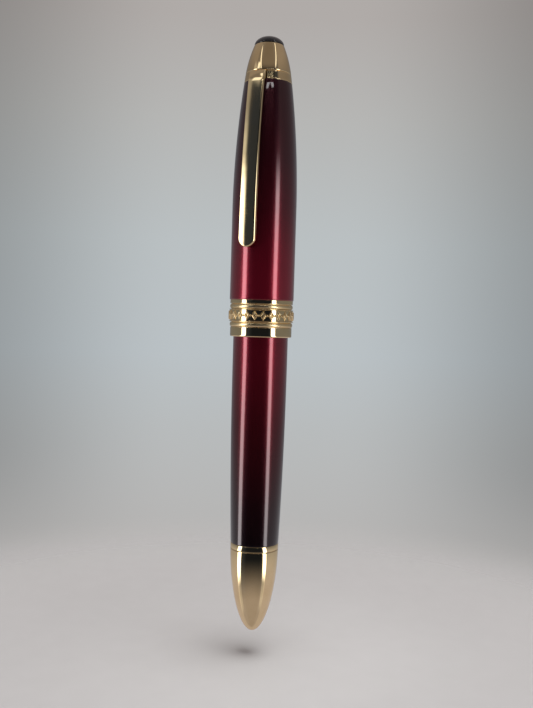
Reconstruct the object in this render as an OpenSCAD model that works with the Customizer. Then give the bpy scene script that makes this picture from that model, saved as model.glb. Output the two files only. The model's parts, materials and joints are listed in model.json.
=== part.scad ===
// Large piston-filling fountain pen, capped, standing on the tip of its filling knob.
// Millimetres. +Z runs up the pen's axis from the knob's tip to the dome on the cap.
// The origin is the knob's tip, the clip and the top of the nib face -Y.

/* [Filling knob] */
// Length of the knob, from its tip to its rim
knob_len = 20.85; // [20.6:0.05:21.4]
// Radius of the knob at its rim
knob_rim_r = 5.92; // [5.85:0.01:6]
// Fullness of the knob's bullet shape: 2 is a half ellipse, less is more pointed
knob_fullness = 1.85; // [1.75:0.05:2]
// Wall of the knob's shell
knob_wall = 0.6; // [0.5:0.05:0.7]

/* [Barrel] */
// Height of the polished ring between knob and barrel
end_ring_h = 1.4; // [1.2:0.1:1.6]
// Length of the lacquered barrel
barrel_len = 52.3; // [51.5:0.1:53]
// Largest radius of the barrel
barrel_max_r = 6.72; // [6.7:0.01:6.76]
// Height above the origin where the barrel stops widening
barrel_belly_z = 66; // [64:1:68]
// Radius of the long arc that narrows the barrel towards the knob
barrel_arc_r = 1250; // [1200:10:1350]

/* [Cap] */
// Radius of the straight part of the cap
cap_body_r = 7.84; // [7.8:0.01:7.9]
// Length of the lacquered cap tube
cap_len = 52.4; // [52:0.1:53]
// Height above the origin where the cap starts to narrow
cap_taper_z = 104; // [102:0.5:106]
// Radius of the arc that narrows the cap
cap_arc_r = 235; // [225:5:260]
// Wall of the cap tube
cap_wall = 0.6; // [0.5:0.02:0.64]
// Height of the polished crown above the clip ring
crown_h = 7.1; // [6.8:0.1:7.4]
// Radius of the arc that rounds the crown
crown_arc_r = 25.6; // [24:0.2:30]
// Height of the dark dome on top of the crown
dome_h = 2.2; // [2:0.1:2.6]

/* [Cap band] */
// Height of the plain ring at the cap's lip
lip_h = 2.3; // [2.2:0.1:2.4]
// Radius of the plain ring at the cap's lip
lip_r = 7.55; // [7.5:0.01:7.6]
// Height of each of the two beads beside the frieze
bead_h = 1.375; // [1.3:0.025:1.45]
// Height of the frieze ring
frieze_h = 3.0; // [2.8:0.1:3.2]
// Height of the narrow ring under the lacquer
top_ring_h = 0.95; // [0.9:0.05:1.05]
// Number of lozenges in the frieze
lozenge_count = 24; // [20:1:26]
// How far the lozenges stand proud of the frieze ring
lozenge_relief = 0.33; // [0.2:0.01:0.4]

/* [Clip] */
// Height of the ring that carries the clip
clip_ring_h = 2.1; // [2:0.1:2.3]
// Height above the origin of the clip's free end
clip_end_z = 94.5; // [93:0.5:97]
// Width of the clip at the ring
clip_top_w = 4.1; // [3.8:0.1:4.2]
// Width of the clip at its free end
clip_end_w = 4.4; // [4.2:0.1:4.8]
// Thickness of the clip
clip_t = 0.8; // [0.7:0.05:0.8]

/* [Section and nib] */
// Height above the origin of the section's front edge
section_front_z = 106; // [105.5:0.1:106.3]
// Radius of the section next to the ink window
section_rear_r = 5.5; // [5.4:0.01:5.6]
// Radius of the section's waist
section_waist_r = 4.95; // [4.85:0.01:5]
// Height above the origin of the nib's writing tip
nib_tip_z = 128; // [127:0.1:128.2]
// Half width of the nib at its shoulders
nib_half_w = 4.1; // [3.8:0.1:4.2]
// Thickness of the nib's sheet
nib_t = 0.3; // [0.25:0.05:0.35]

/* [Ink chamber and piston] */
// Radius of the ink chamber's bore
ink_bore_r = 4.8; // [4.78:0.01:4.85]
// Travel of the piston
piston_travel = 28; // [26:0.5:28]
// Radius of the piston rod
rod_r = 1.9; // [1.85:0.01:1.92]
// Outer radius of the threaded spindle that drives the rod
spindle_r = 3.2; // [3.15:0.01:3.22]
// Radial running clearance between pieces that slide or turn in one another
run_gap = 0.07; // [0.05:0.01:0.08]

/* [Hidden] */
$fn = 96;
// Overshoot of a cutting tool past the face it cuts
over = 0.1;
// Gap between pieces that are pressed or screwed together
seat_gap = 0.02;
// Seam between the knob's rim and the ring above it
seam = 0.05;

// Stations along the axis, from the knob upwards
ring_z = knob_len + seam;
barrel_z = ring_z + end_ring_h;
barrel_top_z = barrel_z + barrel_len;
lip_overlap = 1.4;
lip_z = barrel_top_z - lip_overlap;
lower_bead_z = lip_z + lip_h;
frieze_z = lower_bead_z + bead_h;
upper_bead_z = frieze_z + frieze_h;
top_ring_z = upper_bead_z + bead_h;
cap_z = top_ring_z + top_ring_h;
clip_ring_z = cap_z + cap_len;
crown_z = clip_ring_z + clip_ring_h;
dome_z = crown_z + crown_h;

// Cap band
band_bore_r = 7.15;
bead_r = 7.68;
frieze_r = 7.75;
top_ring_r = 7.68;
lozenge_w = 1.3;
lozenge_h = 2.1;
stud_r = 0.2;

// Cap thread and barrel thread: ridges that pass each other with a gap
thread_root_r = 6.0;
thread_crest_r = 6.35;
thread_pitch = 0.9;
thread_ridges = 6;
collar_len = 6.9;
collar_bore_r = 5.47;
bush_bore_r = thread_crest_r + 0.1;
bush_top_z = cap_z + 1.8;

// Piston housing, ink chamber
housing_r = 5.28;
housing_neck_r = 4.3;
housing_top_z = barrel_z + 23.9;
housing_wall = 2.2;
spigot_h = 2.2;
chamber_r = 5.9;
chamber_neck_r = 5.45;
chamber_z = housing_top_z + 0.1;
collar_z = barrel_top_z;
window_z = collar_z + collar_len;

// Piston
piston_z = housing_top_z + spigot_h + 1.6;
piston_len = 5.5;
piston_end_gap = 0.5;
piston_flange_r = 4.3;
piston_core_r = 3.55;
rod_tail_z = 8;
rod_flat = 1.45;
spindle_z = 6.5;
spindle_bore_r = rod_r + 0.1;
spindle_top_z = housing_top_z - housing_wall - 0.1;
spindle_pitch = 1.5;
washer_t = 0.7;
washer_r = 5.2;

// Section, above the end of the piston's travel
section_plug_h = 4.5;
section_z = piston_z + piston_len + piston_travel + piston_end_gap + section_plug_h;
chamber_top_z = section_z - 0.1;

// Nib and feed: the nib's sheet is a strip of a tube that leans towards the axis
nib_tube_r = 4.4;
nib_lean = 6.1;
nib_crown_y = -3.2;
nib_tail_z = section_front_z - 6;
tang_r = 3.25;
nib_bore_r = tang_r + seat_gap;
collar_sleeve_r = 3.97;
breather_r = 0.55;
slit_w = 0.12;
pellet_r = 0.5;

// Crown fastening
stud_hole_r = 1.85;
top_plug_h = 1.1;
dome_plug_h = 1.0;

// Clip
clip_notch_gap = 0.1;
clip_root_z = clip_ring_z + 0.1;
clip_root_top_z = crown_z - 0.1;
clip_root_y = 4.9;
clip_root_depth = 1.1;

// Evenly spaced values from a to b
function steps(a, b, count) = [for (i = [0:count]) a + (b - a) * i / count];

// Outer radii of the pen at height z
function knob_r(z) = knob_rim_r * sqrt(max(0, 1 - pow((knob_len - z) / knob_len, knob_fullness)));
function barrel_r(z) = barrel_max_r - pow(max(0, barrel_belly_z - z), 2) / (2 * barrel_arc_r);
function cap_r(z) = cap_body_r - pow(max(0, z - cap_taper_z), 2) / (2 * cap_arc_r);
function cap_slope(z) = max(0, z - cap_taper_z) / cap_arc_r;
function crown_r(z) =
    cap_r(crown_z) - cap_slope(crown_z) * (z - crown_z) - pow(z - crown_z, 2) / (2 * crown_arc_r);
dome_r = crown_r(dome_z);

// Height of the clip's outer face above the cap: rounded off at the ring, rising to the free end
clip_full_z = crown_z - 2.9;
function clip_rise(z) =
    (0.95 + 0.65 * pow(max(0, (crown_z - z) / (crown_z - clip_end_z)), 1.5))
    * sqrt(max(0, 1 - pow(max(0, z - clip_full_z) / (crown_z - clip_full_z), 2)));
function clip_face(z) = cap_r(z) + clip_rise(z);
function clip_half_w(z) =
    (clip_end_w + (clip_top_w - clip_end_w) * (z - clip_end_z) / (crown_z - clip_end_z)) / 2;

// Half width of the nib at height z: straight tail, round shoulders, tines that run to a point
nib_shoulder_z = section_front_z + 4.5;
function nib_half(z) = z < nib_shoulder_z
    ? tang_r - 0.4 + (nib_half_w - tang_r + 0.4)
        * sin(90 * max(0, z - section_front_z) / (nib_shoulder_z - section_front_z))
    : 0.3 + (nib_half_w - 0.3)
        * pow(cos(90 * (z - nib_shoulder_z) / (nib_tip_z - nib_shoulder_z)), 1.25);

module turned(outline) rotate_extrude() polygon(outline);

module tube(r_out, r_in, z0, z1) {
    difference() {
        translate([0, 0, z0]) cylinder(r = r_out, h = z1 - z0);
        translate([0, 0, z0 - over]) cylinder(r = r_in, h = z1 - z0 + 2 * over);
    }
}

// Ring with a bulged outer face
module bead(z0, height, r_edge, bulge, r_in) {
    turned(concat(
        [[r_in, z0 + height], [r_in, z0]],
        [for (a = steps(-90, 90, 12)) [r_edge + bulge * cos(a), z0 + height / 2 * (1 + sin(a))]]
    ));
}

// Tube whose outer and inner radius follow the cap's outline
module cap_tube(z0, z1, skin, wall) {
    zs = steps(z0, z1, 20);
    turned(concat(
        [for (z = zs) [cap_r(z) - skin, z]],
        [for (i = [20:-1:0]) [cap_r(zs[i]) - skin - wall, zs[i]]]
    ));
}

// Cylinder with annular thread ridges cut into its outer face
module ridged_rod(r_crest, r_root, z0, z1, ridge_z0, pitch, count) {
    turned(concat(
        [[0, z0], [r_crest, z0]],
        [for (i = [0:count - 1], k = [0:3])
            [k == 0 || k == 3 ? r_crest : r_root, ridge_z0 + pitch * (i + [0, 0.25, 0.5, 0.75][k])]],
        [[r_crest, z1], [0, z1]]
    ));
}

// Inside of the nib's sheet, or its outside, as a leaning solid bar
module nib_bar(r) {
    axis_y = nib_crown_y + nib_tube_r;
    translate([0, axis_y, section_front_z])
        rotate([-nib_lean, 0, 0])
            translate([0, 0, -20]) cylinder(r = r, h = 60);
}

module barrel_end_ring() {
    color("gold") bead(ring_z, end_ring_h, 5.9, 0.05, housing_neck_r + seat_gap);
}

module barrel_shell() {
    zs = steps(barrel_z, barrel_top_z, 20);
    color("darkred") turned(concat(
        [for (z = zs) [barrel_r(z), z]],
        [[chamber_r + seat_gap, barrel_top_z],
         [chamber_r + seat_gap, housing_top_z],
         [housing_r + seat_gap, housing_top_z],
         [housing_r + seat_gap, barrel_z]]
    ));
}

module piston_housing() {
    color("goldenrod") difference() {
        union() {
            translate([0, 0, ring_z])
                cylinder(r = housing_neck_r, h = end_ring_h + over);
            translate([0, 0, barrel_z + seat_gap])
                cylinder(r = housing_r, h = housing_top_z - barrel_z - 2 * seat_gap);
            translate([0, 0, barrel_z + over])
                cylinder(r = ink_bore_r - seat_gap, h = housing_top_z - barrel_z + spigot_h - over);
        }
        translate([0, 0, ring_z - over])
            cylinder(r = spindle_r + run_gap, h = housing_top_z - housing_wall - ring_z + over);
        keyed_rod(run_gap, ring_z, housing_top_z + spigot_h + over);
        translate([0, 0, housing_top_z + 0.8]) seal_groove();
    }
}

// Rod with two flats, which stop it from turning in the housing
module keyed_rod(gap, z0, z1) {
    intersection() {
        translate([0, 0, z0]) cylinder(r = rod_r + gap, h = z1 - z0);
        translate([-rod_flat - gap, -rod_r - 1, z0])
            cube([2 * (rod_flat + gap), 2 * (rod_r + 1), z1 - z0]);
    }
}

// Groove for a round seal, and the seal that fills it
seal_wire_r = 0.34;
seal_mid_r = ink_bore_r - 0.04 - seal_wire_r;
module seal_groove() tube(ink_bore_r + over, seal_mid_r - seal_wire_r - 0.03, 0, 2 * seal_wire_r + 0.2);
module round_seal(z) {
    translate([0, 0, z + seal_wire_r + 0.1])
        rotate_extrude() translate([seal_mid_r, 0]) circle(r = seal_wire_r, $fn = 32);
}

module housing_seal() color("dimgray") round_seal(housing_top_z + 0.8);
module section_seal() color("dimgray") round_seal(section_z - 3);

module reservoir() {
    color([0.6, 0.66, 0.7, 0.5]) turned([
        [ink_bore_r, chamber_z],
        [chamber_r, chamber_z],
        [chamber_r, barrel_top_z - over],
        [chamber_neck_r, barrel_top_z - over],
        [chamber_neck_r, chamber_top_z],
        [ink_bore_r, chamber_top_z]
    ]);
}

module thread_collar() {
    color("gold") difference() {
        union() {
            translate([0, 0, collar_z + seat_gap])
                cylinder(r = thread_root_r, h = collar_len - seat_gap);
            ridged_rod(thread_crest_r, thread_root_r, collar_z + 0.9, window_z - 0.5,
                collar_z + 1, thread_pitch, thread_ridges - 1);
        }
        translate([0, 0, collar_z - over]) cylinder(r = collar_bore_r, h = collar_len + 2 * over);
    }
}

module section() {
    len = section_front_z - section_z;
    waist_z = section_front_z - 4;
    flare_z = section_front_z - 1.1;
    flare_r = section_waist_r + 0.3;
    color("black") difference() {
        union() {
            turned(concat(
                [[0, section_z]],
                [for (t = steps(0, 1, 12))
                    [section_rear_r + (section_waist_r - section_rear_r) * (1 - cos(180 * t)) / 2,
                     section_z + (waist_z - section_z) * t]],
                [for (t = steps(0.1, 1, 8))
                    [section_waist_r + (flare_r - section_waist_r) * (1 - cos(180 * t)) / 2,
                     waist_z + (flare_z - waist_z) * t]],
                [for (a = steps(15, 90, 5))
                    [flare_r - 0.9 + 0.9 * cos(a), flare_z + (section_front_z - flare_z) * sin(a)]],
                [[0, section_front_z]]
            ));
            translate([0, 0, section_z - section_plug_h])
                cylinder(r = ink_bore_r - seat_gap, h = section_plug_h + over);
        }
        translate([0, 0, section_front_z - 14])
            cylinder(r = collar_sleeve_r + seat_gap, h = 14 + over);
        translate([0, 0, section_z - section_plug_h - over])
            cylinder(r = 2.2, h = len + section_plug_h);
        translate([0, 0, section_z - 3]) seal_groove();
    }
}

module nib_collar() {
    color("dimgray") tube(collar_sleeve_r, nib_bore_r, section_front_z - 13.9, section_front_z + 0.3);
}

module feed() {
    tail_len = 13.3;
    tail_z = section_front_z - 13;
    fin_z = section_front_z + 1.6;
    fin_pitch = 0.85;
    fin_t = 0.4;
    fin_count = 14;
    feed_top_z = nib_tip_z - 4;
    color([0.12, 0.12, 0.12]) difference() {
        union() {
            translate([0, 0, tail_z]) cylinder(r = tang_r - nib_t - seat_gap, h = tail_len);
            intersection() {
                translate([0, 0, tail_z]) cylinder(r = tang_r, h = tail_len);
                translate([-5, 0.8, tail_z]) cube([10, 5, tail_len]);
            }
            intersection() {
                nib_bar(nib_tube_r - nib_t - seat_gap);
                union() {
                    translate([0, 0, section_front_z - 1])
                        cylinder(r1 = 2.3, r2 = 1.05, h = feed_top_z - section_front_z + 1);
                    for (i = [0:fin_count - 1])
                        translate([0, 0, fin_z + fin_pitch * i])
                            cylinder(r1 = 3.25 - 0.09 * i, r2 = 3.2 - 0.09 * i, h = fin_t);
                }
            }
        }
        translate([-slit_w, nib_crown_y - 1, tail_z - over])
            cube([2 * slit_w, 2.2, feed_top_z - tail_z + 2 * over]);
    }
}

module nib() {
    zs = steps(nib_tail_z, nib_tip_z - 0.25, 36);
    breather_z = nib_shoulder_z + 3.2;
    color("gold") difference() {
        union() {
            intersection() {
                difference() {
                    nib_bar(nib_tube_r);
                    nib_bar(nib_tube_r - nib_t);
                }
                rotate([90, 0, 0]) linear_extrude(height = 12)
                    polygon(concat(
                        [for (z = zs) [nib_half(z), z]],
                        [for (i = [36:-1:0]) [-nib_half(zs[i]), zs[i]]]
                    ));
                translate([-6, -6, section_front_z + 0.35]) cube([12, 6.6, 30]);
            }
            intersection() {
                tube(tang_r, tang_r - nib_t, nib_tail_z, section_front_z + 0.8);
                translate([-5, -5, nib_tail_z]) cube([10, 5.5, 12]);
            }
        }
        translate([0, 0, breather_z]) rotate([90, 0, 0]) cylinder(r = breather_r, h = 12, $fn = 48);
        translate([-slit_w / 2, -12, breather_z]) cube([slit_w, 12, 40]);
    }
}

module nib_tip() {
    tip_y = nib_crown_y + (nib_tip_z - section_front_z) * tan(nib_lean) + pellet_r / 2;
    color("silver") translate([0, tip_y, nib_tip_z - pellet_r / 2]) sphere(r = pellet_r, $fn = 48);
}

module piston_rod() color("goldenrod") keyed_rod(0, rod_tail_z, piston_z);

module piston_head() {
    color("white") turned([
        [0, piston_z + seat_gap],
        [piston_flange_r, piston_z + seat_gap],
        [piston_flange_r, piston_z + 0.5],
        [piston_core_r, piston_z + 0.5],
        [piston_core_r, piston_z + piston_len - 0.5],
        [piston_flange_r, piston_z + piston_len - 0.5],
        [piston_flange_r - 0.3, piston_z + piston_len],
        [0, piston_z + piston_len]
    ]);
}

module piston_seal() {
    z0 = piston_z + 0.5 + seat_gap;
    z1 = piston_z + piston_len - 0.5 - seat_gap;
    lip_h = 0.9;
    lip_r = ink_bore_r - run_gap;
    waist_r = lip_r - 0.4;
    color("dimgray") turned([
        [piston_core_r + seat_gap, z0],
        [lip_r, z0],
        [lip_r, z0 + lip_h],
        [waist_r, z0 + lip_h + 0.4],
        [waist_r, z1 - lip_h - 0.4],
        [lip_r, z1 - lip_h],
        [lip_r, z1],
        [piston_core_r + seat_gap, z1]
    ]);
}

module thrust_washer() {
    color("white") tube(washer_r, spindle_r + run_gap, ring_z - 0.1 - washer_t, ring_z - 0.1);
}

// Height of the core's top face, under the washer
core_top_z = ring_z - washer_t - 0.2;
hollow_z = 3.2;

module knob_shell() {
    outer_zs = [for (i = [0:28]) knob_len * pow(i / 28, 2)];
    inner_zs = steps(knob_len, hollow_z, 16);
    color("gold") turned(concat(
        [for (z = outer_zs) [knob_r(z), z]],
        [for (z = inner_zs) [knob_r(z) - knob_wall, z]],
        [[0, hollow_z]]
    ));
}

module knob_core() {
    color("goldenrod") difference() {
        turned(concat(
            [[0, hollow_z + seat_gap]],
            [for (z = steps(hollow_z + seat_gap, core_top_z, 16))
                [knob_r(z) - knob_wall - seat_gap, z]],
            [[0, core_top_z]]
        ));
        translate([0, 0, spindle_z - seat_gap])
            cylinder(r = spindle_r + seat_gap / 2, h = core_top_z);
    }
}

module spindle() {
    color("goldenrod") difference() {
        ridged_rod(spindle_r, spindle_r - 0.3, spindle_z, spindle_top_z,
            ring_z + 0.6, spindle_pitch, 9);
        translate([0, 0, spindle_z - over])
            cylinder(r = spindle_bore_r, h = spindle_top_z - spindle_z + 2 * over);
    }
}

// Inside of the cap's liner: wide round the section, narrow round the nib, tapered to its roof
liner_z = bush_top_z + 0.2;
liner_top_z = clip_ring_z - top_plug_h - 0.3;
liner_roof = 0.6;
liner_skin = cap_wall + run_gap;
module inner_cap() {
    seat_z = section_front_z + 0.6;
    taper_z = liner_top_z - 3.2;
    roof_z = liner_top_z - liner_roof;
    color("ivory") turned(concat(
        [for (z = steps(liner_z, liner_top_z, 20)) [cap_r(z) - liner_skin, z]],
        [[0, liner_top_z],
         [0, roof_z],
         [4.6, roof_z],
         [5.0, taper_z],
         [5.0, seat_z],
         [6.2, seat_z],
         [6.2, liner_z]]
    ));
}

module cap_shell() color("darkred") cap_tube(cap_z, clip_ring_z, 0, cap_wall);

module cap_thread_bush() {
    color("goldenrod") difference() {
        union() {
            translate([0, 0, lower_bead_z + 0.05])
                cylinder(r = band_bore_r - seat_gap, h = bush_top_z - lower_bead_z - 0.05);
            translate([0, 0, cap_z + 0.05])
                cylinder(r = cap_body_r - cap_wall - seat_gap, h = bush_top_z - cap_z - 0.05);
        }
        translate([0, 0, lower_bead_z])
            cylinder(r = bush_bore_r, h = bush_top_z - lower_bead_z + over);
    }
}

module lip_ring() {
    edge = 0.15;
    bore_r = barrel_max_r + 0.08;
    color("gold") turned([
        [bore_r, lip_z],
        [lip_r - edge, lip_z],
        [lip_r, lip_z + edge],
        [lip_r, lip_z + lip_h],
        [bore_r, lip_z + lip_h]
    ]);
}

module lower_bead() color("gold") bead(lower_bead_z, bead_h, bead_r - 0.2, 0.2, band_bore_r);
module upper_bead() color("gold") bead(upper_bead_z, bead_h, bead_r - 0.2, 0.2, band_bore_r);
module top_ring() color("gold") tube(top_ring_r, band_bore_r, top_ring_z, cap_z);

module frieze_ring() {
    mid_z = frieze_z + frieze_h / 2;
    depth = frieze_r + lozenge_relief - band_bore_r - 0.2;
    color("gold") {
        tube(frieze_r, band_bore_r, frieze_z, upper_bead_z);
        for (i = [0:lozenge_count - 1]) {
            turn = 360 * i / lozenge_count;
            rotate([0, 0, turn]) translate([band_bore_r + 0.2, 0, mid_z])
                rotate([0, 90, 0]) linear_extrude(height = depth)
                    polygon([[-lozenge_h / 2, 0], [0, lozenge_w / 2],
                             [lozenge_h / 2, 0], [0, -lozenge_w / 2]]);
            rotate([0, 0, turn + 180 / lozenge_count]) translate([band_bore_r + 0.2, 0, mid_z])
                rotate([0, 90, 0]) cylinder(r = stud_r, h = depth, $fn = 24);
        }
    }
}

module cap_top_plug() {
    z0 = clip_ring_z - top_plug_h;
    skin = cap_wall + seat_gap;
    color("goldenrod") difference() {
        translate([0, 0, z0])
            cylinder(r1 = cap_r(z0) - skin, r2 = cap_r(clip_ring_z) - skin, h = top_plug_h);
        translate([0, 0, z0 - over]) cylinder(r = stud_hole_r, h = top_plug_h + 2 * over);
    }
}

module clip_ring() {
    notch_w = clip_top_w + 2 * clip_notch_gap;
    color("gold") difference() {
        translate([0, 0, clip_ring_z])
            cylinder(r1 = cap_r(clip_ring_z), r2 = cap_r(crown_z), h = clip_ring_h);
        translate([0, 0, clip_ring_z - over])
            cylinder(r = stud_hole_r, h = clip_ring_h + 2 * over);
        translate([-notch_w / 2, -10, clip_ring_z - over])
            cube([notch_w, 10 - clip_root_y, clip_ring_h + 2 * over]);
    }
}

module crown() {
    stud_hole_h = 5.4;
    color("gold") difference() {
        turned(concat(
            [[0, crown_z + seat_gap]],
            [for (z = steps(crown_z + seat_gap, dome_z, 16)) [crown_r(z), z]],
            [[0, dome_z]]
        ));
        translate([0, 0, crown_z - over]) cylinder(r = stud_hole_r, h = stud_hole_h + over);
        translate([0, 0, dome_z - dome_plug_h]) cylinder(r = dome_r - 0.3, h = dome_plug_h + over);
    }
}

module crown_stud() {
    color("silver") translate([0, 0, clip_ring_z - top_plug_h])
        cylinder(r = stud_hole_r - seat_gap, h = top_plug_h + clip_ring_h + 5.2);
}

module crown_dome() {
    color("black") turned(concat(
        [[0, dome_z - dome_plug_h + seat_gap],
         [dome_r - 0.3 - seat_gap, dome_z - dome_plug_h + seat_gap],
         [dome_r - 0.3 - seat_gap, dome_z + seat_gap]],
        [for (a = steps(0, 90, 16)) [dome_r * cos(a), dome_z + seat_gap + (dome_h - seat_gap) * sin(a)]]
    ));
}

// The clip: its side outline and its front outline are both extruded, and the clip is what they share
module clip_arm() {
    count = 32;
    zs = steps(clip_end_z, clip_full_z, count);
    top_zs = steps(clip_full_z, clip_root_top_z, 10);
    wide = clip_end_w + 2;
    tip_r = clip_end_w / 2;
    outer = concat([for (z = zs) [-clip_face(z), z]], [for (z = top_zs) [-clip_face(z), z]]);
    inner = concat(
        [[-clip_root_y - clip_notch_gap, clip_root_top_z],
         [-clip_root_y - clip_notch_gap, clip_root_z + 0.6],
         [-clip_root_y - clip_root_depth, clip_root_z]],
        [for (i = [count:-1:0]) if (zs[i] < clip_root_z - 0.8) [-clip_face(zs[i]) + clip_t, zs[i]]]
    );
    color("gold") {
        intersection() {
            translate([-wide / 2, 0, 0]) rotate([90, 0, 90]) linear_extrude(height = wide)
                polygon(concat(outer, inner));
            translate([0, -4, 0]) rotate([90, 0, 0]) linear_extrude(height = 8)
                polygon(concat(
                    [for (a = steps(-180, 0, 16))
                        [tip_r * cos(a), clip_end_z + tip_r + tip_r * sin(a)]],
                    [[clip_half_w(crown_z), crown_z], [-clip_half_w(crown_z), crown_z]]
                ));
        }
        // Small foot under the free end, which grips the cloth against the cap
        foot_z = clip_end_z + 2.6;
        translate([0, -cap_r(foot_z) - 0.1, foot_z]) rotate([90, 0, 0])
            cylinder(r1 = 0.9, r2 = 1.5, h = clip_face(foot_z) - cap_r(foot_z) - clip_t + 0.2, $fn = 48);
    }
}

barrel_end_ring();
barrel_shell();
piston_housing();
housing_seal();
reservoir();
thread_collar();
section();
section_seal();
nib_collar();
feed();
nib();
nib_tip();
piston_rod();
piston_head();
piston_seal();
thrust_washer();
knob_shell();
knob_core();
spindle();
inner_cap();
cap_shell();
cap_thread_bush();
lip_ring();
lower_bead();
frieze_ring();
upper_bead();
top_ring();
cap_top_plug();
clip_ring();
crown();
crown_stud();
crown_dome();
clip_arm();
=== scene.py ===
"""Looks of a capped, piston-filling fountain pen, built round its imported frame."""

import json
import math

import bmesh
import bpy
from mathutils import Matrix, Vector


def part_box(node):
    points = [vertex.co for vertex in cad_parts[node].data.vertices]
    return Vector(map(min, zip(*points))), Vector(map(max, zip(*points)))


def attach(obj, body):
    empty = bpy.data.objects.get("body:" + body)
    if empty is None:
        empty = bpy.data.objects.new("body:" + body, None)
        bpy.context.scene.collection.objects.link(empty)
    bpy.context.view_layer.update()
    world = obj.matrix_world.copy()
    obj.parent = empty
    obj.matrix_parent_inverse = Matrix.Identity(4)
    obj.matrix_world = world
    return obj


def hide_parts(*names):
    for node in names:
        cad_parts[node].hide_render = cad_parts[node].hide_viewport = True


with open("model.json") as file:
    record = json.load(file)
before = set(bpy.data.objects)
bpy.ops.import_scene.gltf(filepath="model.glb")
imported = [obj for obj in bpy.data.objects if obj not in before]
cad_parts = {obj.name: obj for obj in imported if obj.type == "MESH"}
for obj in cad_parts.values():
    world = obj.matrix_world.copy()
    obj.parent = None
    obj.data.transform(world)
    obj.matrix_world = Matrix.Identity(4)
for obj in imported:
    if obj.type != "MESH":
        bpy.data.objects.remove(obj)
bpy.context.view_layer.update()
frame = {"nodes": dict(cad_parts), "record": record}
scene = bpy.context.scene
MM = 0.001
TURN = 2 * math.pi


# ---------------------------------------------------------------- node helpers

class Nodes:
    """Short ways to add and join nodes in one node tree."""

    def __init__(self, tree):
        self.tree = tree

    def add(self, kind, **settings):
        node = self.tree.nodes.new(kind)
        for name, value in settings.items():
            setattr(node, name, value)
        return node

    def put(self, value, socket):
        """A number, a colour or another node's output goes into a socket."""
        if isinstance(value, bpy.types.NodeSocket):
            self.tree.links.new(value, socket)
        else:
            socket.default_value = value

    def math(self, operation, a, b=0.0, c=0.0):
        node = self.add("ShaderNodeMath", operation=operation)
        for value, socket in zip((a, b, c), node.inputs):
            self.put(value, socket)
        return node.outputs[0]

    def ease(self, value, low, high, to_low=0.0, to_high=1.0):
        """A smooth step of value from low to high."""
        node = self.add("ShaderNodeMapRange", interpolation_type="SMOOTHSTEP")
        for given, socket in zip((value, low, high, to_low, to_high), node.inputs):
            self.put(given, socket)
        return node.outputs[0]

    def within(self, value, low, high, soft):
        """1 between low and high, with soft edges."""
        return self.math("MULTIPLY", self.ease(value, low - soft, low + soft),
                         self.ease(value, high + soft, high - soft))

    def dot(self, vector, direction):
        node = self.add("ShaderNodeVectorMath", operation="DOT_PRODUCT")
        self.put(vector, node.inputs[0])
        node.inputs[1].default_value = direction
        return node.outputs["Value"]

    def mix(self, factor, a, b):
        node = self.add("ShaderNodeMix", data_type="RGBA")
        self.put(factor, node.inputs["Factor"])
        self.put(a, node.inputs["A"])
        self.put(b, node.inputs["B"])
        return node.outputs["Result"]

    def ramp(self, value, stops, interpolation="EASE"):
        node = self.add("ShaderNodeValToRGB")
        node.color_ramp.interpolation = interpolation
        elements = node.color_ramp.elements
        while len(elements) < len(stops):
            elements.new(0.5)
        for element, (place, colour) in zip(elements, stops):
            element.position = place
            element.color = (*colour, 1.0)
        self.put(value, node.inputs[0])
        return node.outputs["Color"]

    def place(self):
        """The point on the object, in metres, as it lies at rest."""
        return self.add("ShaderNodeTexCoord").outputs["Object"]

    def stretched(self, scale):
        node = self.add("ShaderNodeMapping")
        self.put(self.place(), node.inputs["Vector"])
        node.inputs["Scale"].default_value = scale
        return node.outputs["Vector"]

    def noise(self, scale, detail=3.0, vector=None):
        node = self.add("ShaderNodeTexNoise")
        self.put(vector if vector is not None else self.place(), node.inputs["Vector"])
        node.inputs["Scale"].default_value = scale
        node.inputs["Detail"].default_value = detail
        return node.outputs["Fac"]

    def background(self, strength, colour):
        node = self.add("ShaderNodeBackground")
        self.put(strength, node.inputs["Strength"])
        self.put(colour, node.inputs["Color"])
        return node.outputs[0]

    def both(self, a, b):
        """The light of two backgrounds together."""
        node = self.add("ShaderNodeAddShader")
        self.put(a, node.inputs[0])
        self.put(b, node.inputs[1])
        return node.outputs[0]

    def bump(self, height, strength, distance):
        node = self.add("ShaderNodeBump")
        self.put(height, node.inputs["Height"])
        node.inputs["Strength"].default_value = strength
        node.inputs["Distance"].default_value = distance
        return node.outputs["Normal"]


def material(name, **sockets):
    """A material with one Principled shader. Returns it, its nodes and the shader."""
    made = bpy.data.materials.new(name)
    made.use_nodes = True
    shader = made.node_tree.nodes["Principled BSDF"]
    for socket, value in sockets.items():
        shader.inputs[socket.replace("_", " ")].default_value = value
    return made, Nodes(made.node_tree), shader


# ---------------------------------------------------------------- materials

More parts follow.
